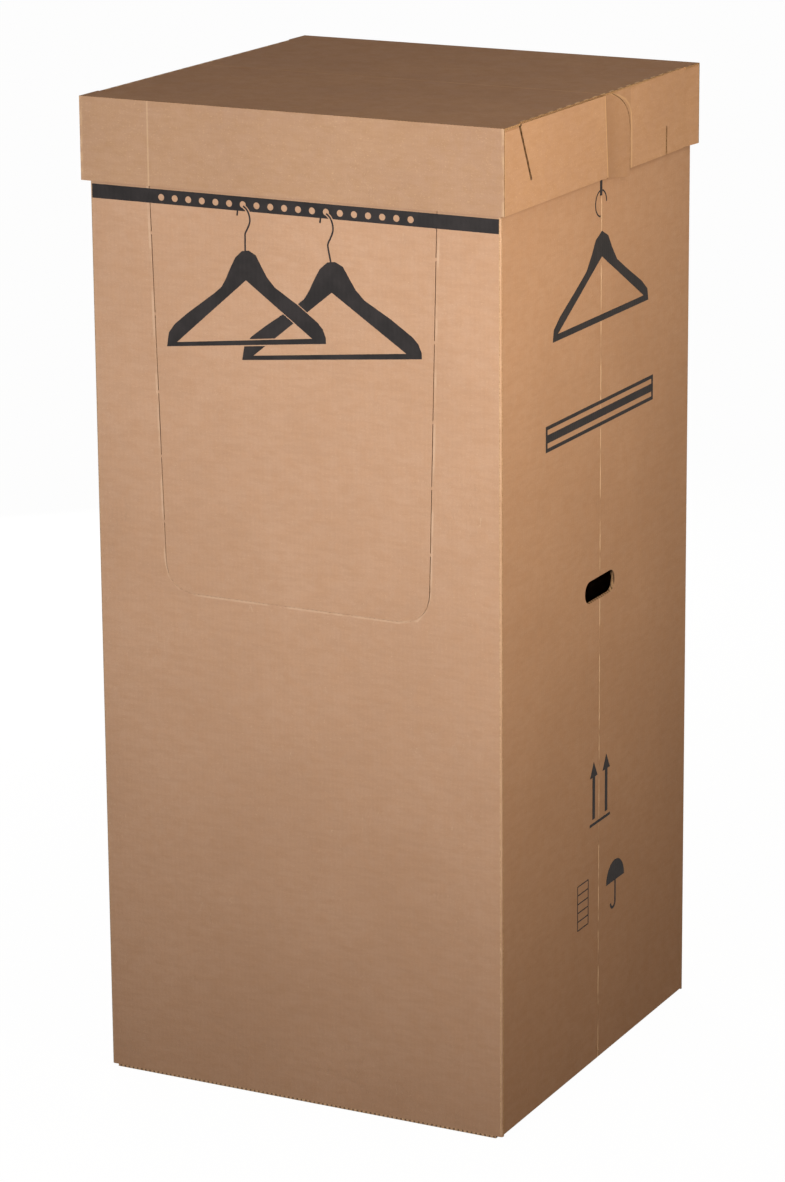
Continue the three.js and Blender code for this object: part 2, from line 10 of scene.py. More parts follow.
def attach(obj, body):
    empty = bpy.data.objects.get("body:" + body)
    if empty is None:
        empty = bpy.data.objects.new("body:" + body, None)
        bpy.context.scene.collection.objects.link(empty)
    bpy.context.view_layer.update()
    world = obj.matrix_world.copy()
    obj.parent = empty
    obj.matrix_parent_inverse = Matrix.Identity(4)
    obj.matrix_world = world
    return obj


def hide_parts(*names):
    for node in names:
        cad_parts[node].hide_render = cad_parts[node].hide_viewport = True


mm = 0.001


def linear(hexColour):
    """sRGB hex to the linear colour that shader sockets take."""
    channels = [int(hexColour[i : i + 2], 16) / 255 for i in (1, 3, 5)]
    return tuple(c / 12.92 if c <= 0.04045 else ((c + 0.055) / 1.055) ** 2.4 for c in channels) + (1.0,)


def addNode(tree, kind, inputs=None, **settings):
    node = tree.nodes.new(kind)
    for name, value in settings.items():
        setattr(node, name, value)
    for name, value in (inputs or {}).items():
        if isinstance(value, bpy.types.NodeSocket):
            tree.links.new(value, node.inputs[name])
        else:
            node.inputs[name].default_value = value
    return node


def maths(tree, operation, first, second=0.0, clamp=False):
    return addNode(tree, "ShaderNodeMath", {0: first, 1: second}, operation=operation, use_clamp=clamp).outputs[0]


def between(tree, value, low, high, start=0.0, end=1.0, smooth=True):
    kind = "SMOOTHSTEP" if smooth else "LINEAR"
    inputs = {"Value": value, "From Min": low, "From Max": high, "To Min": start, "To Max": end}
    return addNode(tree, "ShaderNodeMapRange", inputs, interpolation_type=kind).outputs["Result"]


def blendColour(tree, factor, first, second, mode="MIX"):
    node = addNode(tree, "ShaderNodeMix", data_type="RGBA", blend_type=mode)
    for index, value in ((0, factor), (6, first), (7, second)):
        if isinstance(value, bpy.types.NodeSocket):
            tree.links.new(value, node.inputs[index])
        else:
            node.inputs[index].default_value = value
    return node.outputs[2]


def noise(tree, vector, scale, detail=3.0, roughness=0.55, distortion=0.0):
    inputs = {"Vector": vector, "Scale": scale, "Detail": detail, "Roughness": roughness, "Distortion": distortion}
    return addNode(tree, "ShaderNodeTexNoise", inputs).outputs["Fac"]


def stretched(tree, vector, scale):
    return addNode(tree, "ShaderNodeMapping", {"Vector": vector, "Scale": scale}).outputs["Vector"]


def newMaterial(name):
    material = bpy.data.materials.new(name)
    material.use_nodes = True
    material.node_tree.nodes.clear()
    return material, material.node_tree


def closeMaterial(tree, colour, roughness, height, depth, settings=None):
    bump = addNode(tree, "ShaderNodeBump", {"Height": height, "Distance": depth, "Strength": 1.0})
    shader = addNode(
        tree,
        "ShaderNodeBsdfPrincipled",
        {"Base Color": colour, "Roughness": roughness, "Normal": bump.outputs["Normal"], **(settings or {})},
    )
    output = addNode(tree, "ShaderNodeOutputMaterial")
    tree.links.new(shader.outputs["BSDF"], output.inputs["Surface"])


def fluteCoordinate(tree, place):
    """Distance along a wall or a panel across its flutes, whichever way the face looks."""
    axes = addNode(tree, "ShaderNodeSeparateXYZ", {"Vector": place.outputs["Object"]}).outputs
    facing = addNode(tree, "ShaderNodeSeparateXYZ", {"Vector": place.outputs["Normal"]}).outputs
    sideways = maths(tree, "GREATER_THAN", maths(tree, "ABSOLUTE", facing["X"]), 0.7)
    alongFront = maths(tree, "MULTIPLY", axes["X"], maths(tree, "SUBTRACT", 1.0, sideways))
    alongSide = maths(tree, "MULTIPLY", axes["Y"], sideways)
    return maths(tree, "ADD", alongFront, alongSide), axes


# Shared look of the brown kraft liners, with pattern sizes taken from real board
board = {
    "fluteWall": 6.6 * mm,
    "fluteLid": 4.6 * mm,
    "fibre": 0.9 * mm,
    "fleck": 2.4 * mm,
    "streak": 26 * mm,
    "mottle": 16 * mm,
    "cloud": 170 * mm,
    "halfCarton": 0.300,
    "halfLid": 0.3085,
}


def strokeDistance(tree, across, along, points):
    """Distance from a line of straight strokes, in the plane of a wall or a panel."""
    nearest = None
    for (startX, startY), (endX, endY) in zip(points, points[1:]):
        runX, runY = endX - startX, endY - startY
        length = runX * runX + runY * runY
        fromX = maths(tree, "SUBTRACT", across, startX)
        fromY = maths(tree, "SUBTRACT", along, startY)
        shareX = maths(tree, "MULTIPLY", fromX, runX / length)
        share = maths(tree, "ADD", shareX, maths(tree, "MULTIPLY", fromY, runY / length), True)
        offX = maths(tree, "SUBTRACT", fromX, maths(tree, "MULTIPLY", share, runX))
        offY = maths(tree, "SUBTRACT", fromY, maths(tree, "MULTIPLY", share, runY))
        squared = maths(tree, "ADD", maths(tree, "MULTIPLY", offX, offX), maths(tree, "MULTIPLY", offY, offY))
        distance = maths(tree, "SQRT", squared)
        nearest = distance if nearest is None else maths(tree, "MINIMUM", nearest, distance)
    return nearest


def wallPlanes(tree, place, axes):
    """Coordinates and a facing mask for each kind of wall that carries folds and cuts."""
    facing = addNode(tree, "ShaderNodeSeparateXYZ", {"Vector": place.outputs["Normal"]}).outputs
    sideways = maths(tree, "GREATER_THAN", maths(tree, "ABSOLUTE", facing["X"]), 0.7)
    turnedY = maths(tree, "MULTIPLY", axes["Y"], maths(tree, "SIGN", axes["X"]))
    return {
        "side": (axes["Y"], axes["Z"], sideways),
        "turnedSide": (turnedY, axes["Z"], sideways),
        "front": (axes["X"], axes["Z"], maths(tree, "LESS_THAN", facing["Y"], -0.7)),
        "top": (axes["X"], axes["Y"], maths(tree, "GREATER_THAN", facing["Z"], 0.7)),
    }


def drawMarks(tree, tone, planes, at, marks):
    """Folds, cuts, worn edges and painted shade and shadow lines, each a soft stroke in its wall's plane."""
    for mark in marks:
        across, along, facing = planes[mark["plane"]]
        distance = strokeDistance(tree, across, along, mark["points"])
        if mark.get("ragged"):
            wobble = noise(tree, at, 1 / (3 * mm), 3.0, 0.6)
            wobble = maths(tree, "MULTIPLY", maths(tree, "SUBTRACT", wobble, 0.5), mark["ragged"])
            distance = maths(tree, "ADD", distance, wobble)
        mask = between(tree, distance, mark["half"], mark["half"] + mark["soft"], mark["strength"], 0.0)
        if mark.get("broken"):
            field = noise(tree, stretched(tree, at, mark["brokenAlong"]), 1 / mark["broken"], 2.0, 0.5)
            mask = maths(tree, "MULTIPLY", mask, between(tree, field, 0.42, 0.54, 0.12, 1.0))
        tone = blendColour(tree, maths(tree, "MULTIPLY", mask, facing), tone, linear(mark["colour"]))
    return tone


def kraftMaterial(name, look):
    """Uncoated kraft liner: matt brown paper with fibres, flecks, faint flute lines, rubbed folds and scuffs."""
    material, tree = newMaterial(name)
    place = addNode(tree, "ShaderNodeTexCoord")
    at = place.outputs["Object"]
    across, axes = fluteCoordinate(tree, place)
    fibres = noise(tree, stretched(tree, at, (1.0, 1.0, 2.4)), 1 / board["fibre"], 4.0, 0.65)
    streaks = noise(tree, stretched(tree, at, (1.0, 1.0, 4.5)), 1 / board["streak"], 3.0, 0.6)
    flecks = noise(tree, stretched(tree, at, (1.0, 1.0, 1.6)), 1 / board["fleck"], 2.0, 0.5)
    mottle = noise(tree, at, 1 / board["mottle"], 5.0, 0.6, 0.4)
    cloud = noise(tree, at, 1 / board["cloud"], 3.0, 0.5)
    wander = maths(tree, "MULTIPLY", maths(tree, "SUBTRACT", mottle, 0.5), look["flute"] * 0.8)
    phase = maths(tree, "MULTIPLY", maths(tree, "ADD", across, wander), 2 * math.pi / look["flute"])
    flutes = maths(tree, "SINE", phase)

    tone = blendColour(tree, between(tree, cloud, 0.3, 0.7), linear(look["dark"]), linear(look["light"]))
    tone = blendColour(tree, between(tree, mottle, 0.3, 0.72, 0.0, 0.4), tone, linear(look["warm"]))
    tone = blendColour(tree, between(tree, fibres, 0.3, 0.7, 0.0, 0.34), tone, linear(look["fibreDark"]))
    tone = blendColour(tree, between(tree, streaks, 0.35, 0.7, 0.0, 0.17), tone, linear(look["fibreDark"]))
    pale = between(tree, flecks, 0.62, 0.74, 0.0, 0.4)
    tone = blendColour(tree, pale, tone, linear(look["fibreLight"]))
    shade = maths(tree, "ADD", maths(tree, "MULTIPLY", flutes, look["fluteTone"]), 1.0)
    shadeColour = addNode(tree, "ShaderNodeCombineColor", {"Red": shade, "Green": shade, "Blue": shade})
    tone = blendColour(tree, 1.0, tone, shadeColour.outputs["Color"], "MULTIPLY")

    # painted shade: darker and warmer towards the foot, set to the photo's tone where the lamps alone stay too bright
    footShade = between(tree, axes["Z"], 0.0, 0.62, look["footShade"], 0.0, False)
    tone = blendColour(tree, footShade, tone, linear(look["footShadeColour"]))

    # painted light and shade: side and front faces made brighter or darker by which way they face, set to the photo's
    # tone and not a measured difference of the paper
    facing = addNode(tree, "ShaderNodeSeparateXYZ", {"Vector": place.outputs["Normal"]}).outputs
    facingLight = between(tree, maths(tree, "ABSOLUTE", facing["X"]), 0.4, 0.7, look["frontLightGain"], look["sideLightGain"])
    facingLightColour = addNode(tree, "ShaderNodeCombineColor", {"Red": facingLight, "Green": facingLight, "Blue": facingLight})
    tone = blendColour(tree, 1.0, tone, facingLightColour.outputs["Color"], "MULTIPLY")

    # folds: both wall coordinates are large only at a vertical corner
    absX = maths(tree, "ABSOLUTE", axes["X"])
    absY = maths(tree, "ABSOLUTE", axes["Y"])
    corner = between(tree, maths(tree, "MINIMUM", absX, absY), look["half"] - 5.5 * mm, look["half"] - 1.2 * mm)
    broken = noise(tree, stretched(tree, at, (1.0, 1.0, 0.35)), 1 / (7 * mm), 3.0, 0.6)
    rubbed = maths(tree, "MULTIPLY", corner, between(tree, broken, 0.4, 0.62, 0.15, 1.0))
    tone = blendColour(tree, maths(tree, "MULTIPLY", rubbed, look["rub"]), tone, linear(look["rubbed"]))

    # scuffs: thin paler scratches and soft darker smudges, more of them towards the corners
    scratchField = noise(tree, stretched(tree, at, (3.0, 3.0, 0.9)), 1 / (60 * mm), 2.0, 0.4, 2.2)
    scratch = maths(tree, "ABSOLUTE", maths(tree, "SUBTRACT", scratchField, 0.5))
    scratch = maths(tree, "LESS_THAN", scratch, 0.0016)
    patch = between(tree, noise(tree, at, 1 / (110 * mm), 2.0), 0.5, 0.64)
    scratch = maths(tree, "MULTIPLY", maths(tree, "MULTIPLY", scratch, patch), 0.35)
    tone = blendColour(tree, scratch, tone, linear(look["fibreLight"]))
    smudge = between(tree, noise(tree, stretched(tree, at, (1.0, 1.0, 1.8)), 1 / (75 * mm), 4.0), 0.6, 0.8, 0.0, 0.1)
    tone = blendColour(tree, smudge, tone, linear(look["smudge"]))

    planes = wallPlanes(tree, place, axes)
    tone = drawMarks(tree, tone, planes, at, look["marks"])
    torn = look.get("tornFold")
    if torn:
        beat = maths(tree, "PINGPONG", maths(tree, "ADD", axes["Y"], torn["pitch"] * 40), torn["pitch"] / 2)
        tear = noise(tree, at, 1 / (2.5 * mm), 3.0, 0.6)
        wobble = maths(tree, "MULTIPLY", maths(tree, "SUBTRACT", tear, 0.5), 2.4 * mm)
        dash = between(tree, maths(tree, "ADD", beat, wobble), torn["halfDash"], torn["halfDash"] + 1.0 * mm, 1.0, 0.0)
        side = maths(tree, "ADD", maths(tree, "ABSOLUTE", axes["X"]), wobble)
        lip = between(tree, side, torn["edge"] - torn["width"] - 0.6 * mm, torn["edge"] - torn["width"])
        inSpan = maths(tree, "LESS_THAN", maths(tree, "ABSOLUTE", axes["Y"]), torn["end"])
        inSpan = maths(tree, "MULTIPLY", inSpan, planes["top"][2])
        lip = maths(tree, "MULTIPLY", maths(tree, "MULTIPLY", lip, dash), inSpan)
        tone = blendColour(tree, maths(tree, "MULTIPLY", lip, 0.9), tone, linear(torn["colour"]))
    shadow = look.get("tongueShadow")
    if shadow:
        across, along, facing = planes["turnedSide"]
        lean = maths(tree, "MULTIPLY", maths(tree, "SUBTRACT", shadow["top"], along), shadow["lean"])
        past = maths(tree, "SUBTRACT", maths(tree, "SUBTRACT", across, shadow["start"]), lean)
        near = between(tree, past, shadow["reach"] * 0.1, shadow["reach"], shadow["depth"], shadow["rest"], False)
        inside = maths(tree, "LESS_THAN", across, shadow["edge"])
        inside = maths(tree, "MULTIPLY", maths(tree, "GREATER_THAN", past, 0.0), inside)
        inside = maths(tree, "MULTIPLY", maths(tree, "MULTIPLY", inside, facing), near)
        tone = blendColour(tree, inside, tone, linear(shadow["colour"]))

    rough = between(tree, mottle, 0.3, 0.7, look["roughness"] - 0.05, look["roughness"] + 0.06)
    rough = maths(tree, "SUBTRACT", rough, maths(tree, "MULTIPLY", rubbed, 0.12))
    relief = maths(tree, "MULTIPLY", flutes, look["fluteRelief"])
    relief = maths(tree, "ADD", relief, maths(tree, "MULTIPLY", fibres, 0.12))
    relief = maths(tree, "ADD", relief, maths(tree, "MULTIPLY", mottle, 0.5))
    relief = maths(tree, "ADD", relief, maths(tree, "MULTIPLY", cloud, look["wave"]))
    relief = maths(tree, "SUBTRACT", relief, maths(tree, "MULTIPLY", scratch, 0.4))
    closeMaterial(tree, tone, rough, relief, 1 * mm, {"Specular IOR Level": 0.3})
    return material


def cutEdgeMaterial(name, look):
    """Cut edge of corrugated board: flute mouths painted dark as the shade in their hollows, between paler paper, at
    the flute's real pitch.
    """
    material, tree = newMaterial(name)
    place = addNode(tree, "ShaderNodeTexCoord")
    at = place.outputs["Object"]
    axes = addNode(tree, "ShaderNodeSeparateXYZ", {"Vector": at}).outputs
    ragged = noise(tree, at, 1 / (1.3 * mm), 4.0, 0.7)
    drift = maths(tree, "MULTIPLY", ragged, look["flute"] * 0.25)
    along = maths(tree, "ADD", maths(tree, "ADD", axes["X"], axes["Y"]), drift)
    mouths = maths(tree, "SINE", maths(tree, "MULTIPLY", along, 2 * math.pi / look["flute"]))
    hollow = between(tree, mouths, 0.1, 0.75, 0.0, look["hollow"])
    paper = blendColour(tree, between(tree, ragged, 0.3, 0.7), linear(look["edgeDark"]), linear(look["edgeLight"]))
    # painted shade in the flute hollows
    tone = blendColour(tree, hollow, paper, linear(look["mouthShade"]))
    height = maths(tree, "SUBTRACT", maths(tree, "MULTIPLY", ragged, 0.5), hollow)
    closeMaterial(tree, tone, 0.92, height, 0.6 * mm, {"Specular IOR Level": 0.2})
    return material


def inkMaterial(name, look):
    """Water-based printing ink in the liner: matt near-black, thinner where the flutes dip, speckled by fibres."""
    material, tree = newMaterial(name)
    place = addNode(tree, "ShaderNodeTexCoord")
    at = place.outputs["Object"]
    across, _ = fluteCoordinate(tree, place)
    speckle = noise(tree, at, 1 / (1.1 * mm), 4.0, 0.7)
    cloud = noise(tree, at, 1 / (26 * mm), 3.0, 0.5)
    flutes = maths(tree, "SINE", maths(tree, "MULTIPLY", across, 2 * math.pi / board["fluteWall"]))
    tone = blendColour(tree, between(tree, cloud, 0.3, 0.7), linear(look["deep"]), linear(look["thin"]))
    starved = maths(tree, "ADD", speckle, maths(tree, "MULTIPLY", flutes, 0.03))
    missing = between(tree, starved, 0.68, 0.8, 0.0, 0.5)
    tone = blendColour(tree, missing, tone, linear(look["paper"]))
    rough = between(tree, speckle, 0.3, 0.7, 0.62, 0.8)
    height = maths(tree, "ADD", maths(tree, "MULTIPLY", flutes, 0.05), maths(tree, "MULTIPLY", speckle, 0.12))
    closeMaterial(tree, tone, rough, height, 1 * mm, {"Specular IOR Level": 0.15})
    return material


def steelMaterial(name, look):
    """Zinc-plated strip: dull grey metal with lengthwise rolling marks and faint zinc spangle."""
    material, tree = newMaterial(name)
    place = addNode(tree, "ShaderNodeTexCoord")
    at = place.outputs["Object"]
    rolling = noise(tree, stretched(tree, at, (0.02, 1.0, 1.0)), 1 / (0.5 * mm), 3.0, 0.6)
    spangle = noise(tree, at, 1 / (9 * mm), 2.0, 0.5)
    tone = blendColour(tree, between(tree, spangle, 0.35, 0.65), linear(look["dark"]), linear(look["light"]))
    rough = between(tree, rolling, 0.3, 0.7, 0.3, 0.46)
    height = maths(tree, "MULTIPLY", rolling, 0.1)
    closeMaterial(tree, tone, rough, height, 0.2 * mm, {"Metallic": 1.0})
    return material


print("load the packed part")
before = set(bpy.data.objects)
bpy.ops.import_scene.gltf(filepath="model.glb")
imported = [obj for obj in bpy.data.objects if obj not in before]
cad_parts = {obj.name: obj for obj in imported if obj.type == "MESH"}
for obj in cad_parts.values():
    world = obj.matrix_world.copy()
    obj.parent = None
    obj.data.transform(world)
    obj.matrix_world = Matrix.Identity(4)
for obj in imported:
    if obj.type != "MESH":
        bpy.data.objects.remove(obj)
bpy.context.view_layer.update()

print("board, ink and steel")
rim = 1.3553


def stroke(plane, points, half, soft, strength, colour, **more):
    """One painted line: its plane, its run in metres, its half width and soft edge in millimetres, and its tone."""
    return {
        "plane": plane,
        "points": points,
        "half": half * mm,
        "soft": soft * mm,
        "strength": strength,
        "colour": colour,
        **more,
    }


skirtFoot = [(-0.3, 1.2425), (0.3, 1.2425)]
flapRight = [(0.1505, 0.6945), (0.178, 0.700), (0.1935, 0.717), (0.1984, 0.741), (0.2139, 1.27)]
flapLine = [(-x, z) for x, z in reversed(flapRight)] + flapRight
creaseWear = {"broken": 45 * mm, "brokenAlong": (0.3, 0.3, 1.0), "ragged": 0.8 * mm}
lipWear = {"broken": 50 * mm, "brokenAlong": (1.0, 1.0, 1.0), "ragged": 1.0 * mm}
cartonMarks = [
    # mid crease of each side wall, worn pale where it was folded flat
    stroke("side", [(0.0046, 0.0), (0.0046, rim)], 1.3, 1.2, 0.16, "#7E5C40"),
    stroke("side", [(0.004, 0.0), (0.004, rim)], 0.7, 0.9, 0.85, "#EBCDAA", **creaseWear),
    # soft dark line under the lid's skirt, drawn here because the lamps leave no shadow there
    stroke("side", skirtFoot, 1.0, 6.0, 0.3, "#7A5636"),
    stroke("front", skirtFoot, 1.0, 5.0, 0.26, "#7A5636"),
    # pale lip of the access flap's cut
    stroke("front", flapLine, 0.7, 1.6, 0.3, "#E6C8A8", **lipWear),
]
cartonLook = {
    "flute": board["fluteWall"],
    "half": board["halfCarton"],
    "dark": "#C09A7C",
    "light": "#C6A082",
    "warm": "#C29774",
    "fibreDark": "#A27A57",
    "fibreLight": "#DDBD9C",
    "rubbed": "#E0C3A4",
    "smudge": "#9A7454",
    "rub": 0.16,
    "fluteTone": 0.008,
    "fluteRelief": 0.02,
    "wave": 1.6,
    "roughness": 0.84,
    "marks": cartonMarks,
    # strength and colour of the painted shade towards the foot
    "footShade": 0.28,
    "footShadeColour": "#7A5638",
    # painted light and shade by facing, left even on the carton
    "sideLightGain": 1.0,
    "frontLightGain": 1.0,
}
lidTop = rim
earStart = -0.2615
slitShade = [(earStart - 0.0035, lidTop), (earStart + 0.0315, lidTop - 0.075)]
slitMouthShade = [(earStart - 0.006, lidTop - 0.001), (earStart + 0.002, lidTop - 0.002)]
slotShade = [(0.2035, lidTop - 0.1115), (0.2035, lidTop - 0.0745)]
tongueLine = [
    (0.0875, lidTop - 0.115),
    (0.0875, lidTop - 0.06),
    (0.0855, lidTop - 0.038),
    (0.0795, lidTop - 0.026),
    (0.066, lidTop - 0.016),
    (0.045, lidTop - 0.0085),
    (0.016, lidTop - 0.0015),
]
earEdge = [(-0.0045, lidTop - 0.003), (0.0055, lidTop - 0.112)]
earEndShadow = [(-0.0012, lidTop - 0.003), (0.0088, lidTop - 0.112)]
cornerLow = [(-0.307, lidTop - 0.0042), (-0.267, lidTop - 0.0042)]
cornerTop = [(-0.307, lidTop - 0.0015), (-0.267, lidTop - 0.0015)]
lidMarks = [
    # slanted slit of the outer ear, standing open, painted dark as the shade inside the cut and wider than the
    # modelled slit
    stroke("turnedSide", slitShade, 2.0, 0.8, 0.9, "#4A331C"),
    stroke("turnedSide", slitMouthShade, 1.6, 0.8, 0.85, "#3A2818"),
    # short slot near the far corner, painted dark as the shade inside the cut and wider than the modelled slot
    stroke("turnedSide", slotShade, 1.8, 0.7, 0.9, "#4E3620"),
    # pale outer lip of the rounded cut beside the tongue
    stroke("turnedSide", tongueLine, 0.8, 1.4, 0.5, "#E2BD90", ragged=1.0 * mm),
    # pale edge of the ear's free end, and painted shadow as a dark line at its foot where the ear steps down onto the
    # tongue
    stroke("turnedSide", earEdge, 0.5, 1.2, 0.5, "#E5BE8C"),
    stroke("turnedSide", earEndShadow, 0.9, 2.2, 0.75, "#6E4C2C"),
    # upper edge of the ear's corner piece
    stroke("turnedSide", cornerLow, 0.4, 1.0, 0.55, "#9A6E40"),
    stroke("turnedSide", cornerTop, 1.0, 0.6, 0.6, "#E8C69A"),
    # crease across the top panel, and the faint press line down the front skirt
    stroke("top", [(-0.3, 0.0), (0.3, 0.0)], 0.9, 1.6, 0.22, "#DDBB92"),
    stroke("front", [(-0.206, lidTop - 0.112), (-0.206, lidTop)], 0.5, 1.2, 0.3, "#E0BF98"),
]
lidLook = {
    **cartonLook,
    "flute": board["fluteLid"],
    "half": board["halfLid"],
    "dark": "#B69276",
    "light": "#BE997A",
    "warm": "#B8916C",
    "fibreDark": "#9A724C",
    "fibreLight": "#D8B48C",
    "rubbed": "#DDBB92",
    "smudge": "#96704C",
    "rub": 0.4,
    "fluteTone": 0.006,
    "fluteRelief": 0.012,
    "wave": 1.2,
    "marks": lidMarks,
    "footShade": 0.0,
    # painted light on the lid's side faces and painted shade on its front face
    "sideLightGain": 1.17,
    "frontLightGain": 0.95,
    "tornFold": {
        "pitch": 27 * mm,
        "halfDash": 6.5 * mm,
        "edge": 0.3057,
        "width": 3.4 * mm,
        "end": 0.2615,
        "colour": "#FFE2B4",
    },
    # shade beside the ear's free end, painted to the photo's tone and not thrown by the lamps
    "tongueShadow": {
        "start": -0.003,
        "top": lidTop,
        "lean": 0.0916,
        "reach": 0.05,
        "edge": 0.0835,
        "depth": 0.42,
        "rest": 0.2,
        "colour": "#8A6648",
    },
}
cartonEdge = {
    "flute": board["fluteWall"],
    "hollow": 0.75,
    "edgeDark": "#9C7652",
    "edgeLight": "#D8B48C",
    "mouthShade": "#4A3422",
}
lidEdge = {**cartonEdge, "flute": board["fluteLid"], "hollow": 0.6, "edgeDark": "#A47A50", "edgeLight": "#D9B384"}
inkLook = {"deep": "#262322", "thin": "#302C2B", "paper": "#6E5440"}
steelLook = {"dark": "#8E9094", "light": "#ABADB0"}

kraftLiner = kraftMaterial("kraftLinerDoubleWall", cartonLook)
lidLiner = kraftMaterial("kraftLinerSingleWall", lidLook)
cartonCut = cutEdgeMaterial("corrugatedCutEdgeDoubleWall", cartonEdge)
lidCut = cutEdgeMaterial("corrugatedCutEdgeSingleWall", lidEdge)
printInk = inkMaterial("flexoInkBlack", inkLook)
zincSteel = steelMaterial("zincPlatedSteelStrip", steelLook)


def sheetCopy(node, name, body, materials, thickness):
    """A sheet of board from its CAD node: soft folds, liner on its flat faces, and cut edge where it is cut."""
    sheet = bmesh.new()
    sheet.from_mesh(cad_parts[node].data)
    bmesh.ops.remove_doubles(sheet, verts=sheet.verts, dist=0.005 * mm)
    sheet.normal_update()
    sheet.verts.ensure_lookup_table()
    tree = BVHTree.FromBMesh(sheet)
    slots, rounded = [], []
    for face in sheet.faces:
        inward = -face.normal
        _, _, _, depth = tree.ray_cast(face.calc_center_median() + inward * 0.05 * mm, inward)
        slots.append(1 if depth is None or depth > thickness else 0)
        rounded.append(slots[-1] == 0 and abs(face.normal.z) < 0.01 and max(abs(v) for v in face.normal) < 0.999)
    made = bpy.data.meshes.new(name)
    made.from_pydata([v.co for v in sheet.verts], [], [[v.index for v in face.verts] for face in sheet.faces])
    made.polygons.foreach_set("material_index", slots)
    made.polygons.foreach_set("use_smooth", rounded)
    sheet.free()
    piece = bpy.data.objects.new(name, made)
    bpy.context.scene.collection.objects.link(piece)
    for material in materials:
        made.materials.append(material)
    made.set_sharp_from_angle(angle=math.radians(30))
    made.update()
    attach(piece, body)
    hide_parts(node)
    return piece


print("carton and lid")
carton = {"node": "carton_body", "slot": "kraft_board", "thickness": 9 * mm}
sheetCopy(carton["node"], "cartonSheet", "carton", (kraftLiner, cartonCut), carton["thickness"])
lid = {"node": "lid", "slot": "lid_board", "thickness": 4.5 * mm}
sheetCopy(lid["node"], "lidSheet", "lid", (lidLiner, lidCut), lid["thickness"])


def paint(node, material):
    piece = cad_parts[node]
    piece.data.materials.clear()
    piece.data.materials.append(material)


print("printing and rail")
paint("hanging_rail", zincSteel)
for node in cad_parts:
    if node.endswith("_print"):
        paint(node, printInk)


def meshPiece(name, body, material, points, faces):
    mesh = bpy.data.meshes.new(name)
    mesh.from_pydata(points, [], faces)
    mesh.materials.append(material)
    mesh.update()
    piece = bpy.data.objects.new(name, mesh)
    bpy.context.scene.collection.objects.link(piece)
    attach(piece, body)
    return piece


# Torn paper along the lid's perforated side folds
fringe = {
    "edgeX": 0.3057,
    "top": rim,
    "end": 0.2615,
    "pitch": 27 * mm,
    "cut": 13 * mm,
    "step": 1.1 * mm,
    "reach": 0.55 * mm,
}


def foldFringe(side, seed):
    """Ragged lip of torn liner over each short cut of the fold."""
    pick = random.Random(seed)
    points, faces = [], []
    count = int(2 * fringe["end"] / fringe["pitch"])
    first = -(count - 1) * fringe["pitch"] / 2
    for i in range(count):
        middle = first + i * fringe["pitch"]
        steps = int(fringe["cut"] / fringe["step"])
        base = len(points)
        for k in range(steps + 1):
            y = middle - fringe["cut"] / 2 + k * fringe["step"]
            swell = math.sin(math.pi * k / steps)
            reach = fringe["reach"] * (0.35 + 0.65 * swell) * pick.uniform(0.5, 1.0)
            drop = 0.9 * mm * swell * pick.uniform(0.6, 1.0)
            x = fringe["edgeX"] + 0.05 * mm
            points.append((side * (x - 0.3 * mm), side * y, fringe["top"] - 1.4 * mm))
            points.append((side * (x + reach), side * y, fringe["top"] - 0.7 * mm - drop))
            points.append((side * (x + reach * 0.4), side * y, fringe["top"] - 0.1 * mm))
        for k in range(steps):
            a, b = base + 3 * k, base + 3 * (k + 1)
            faces.append((a, b, b + 1, a + 1))
            faces.append((a + 1, b + 1, b + 2, a + 2))
    name = "foldFringeRight" if side > 0 else "foldFringeLeft"
    return meshPiece(name, "lid", lidCut, points, faces)


# Pressed-shut lips of the access flap's cut, just below the wall's surface
flapCut = {
    "rim": (0.2139, 1.27),
    "corner": (0.1974, 0.741),
    "bendX": 0.1955,
    "foot": (0.1505, 0.696),
    "bends": 8,
    "half": 0.42 * mm,
    "face": -0.29945,
}


def flapCutLips():
    """A narrow strip of liner tone down in the cut, so that the cut reads as closed and not as an open gap."""
    rimX, rimZ = flapCut["rim"]
    cornerX, cornerZ = flapCut["corner"]
    footX, footZ = flapCut["foot"]
    right = [(rimX, rimZ)]
    for k in range(flapCut["bends"] + 1):
        t = k / flapCut["bends"]
        x = (1 - t) ** 2 * cornerX + 2 * t * (1 - t) * flapCut["bendX"] + t * t * footX
        z = (1 - t) ** 2 * cornerZ + 2 * t * (1 - t) * footZ + t * t * footZ
        right.append((x, z))
    path = [(-x, z) for x, z in right] + right[::-1]
    points, faces = [], []
    for i, (x, z) in enumerate(path):
        aheadX, aheadZ = path[min(i + 1, len(path) - 1)]
        behindX, behindZ = path[max(i - 1, 0)]
        run = Vector((aheadX - behindX, aheadZ - behindZ)).normalized()
        for side in (-1, 1):
            offset = side * flapCut["half"]
            points.append((x - run.y * offset, flapCut["face"], z + run.x * offset))
    for i in range(len(path) - 1):
        faces.append((2 * i, 2 * i + 1, 2 * i + 3, 2 * i + 2))
    return meshPiece("flapCutLips", "carton", kraftLiner, points, faces)


print("torn folds and cut lips")
flapCutLips()
foldFringe(1, 4)
foldFringe(-1, 9)


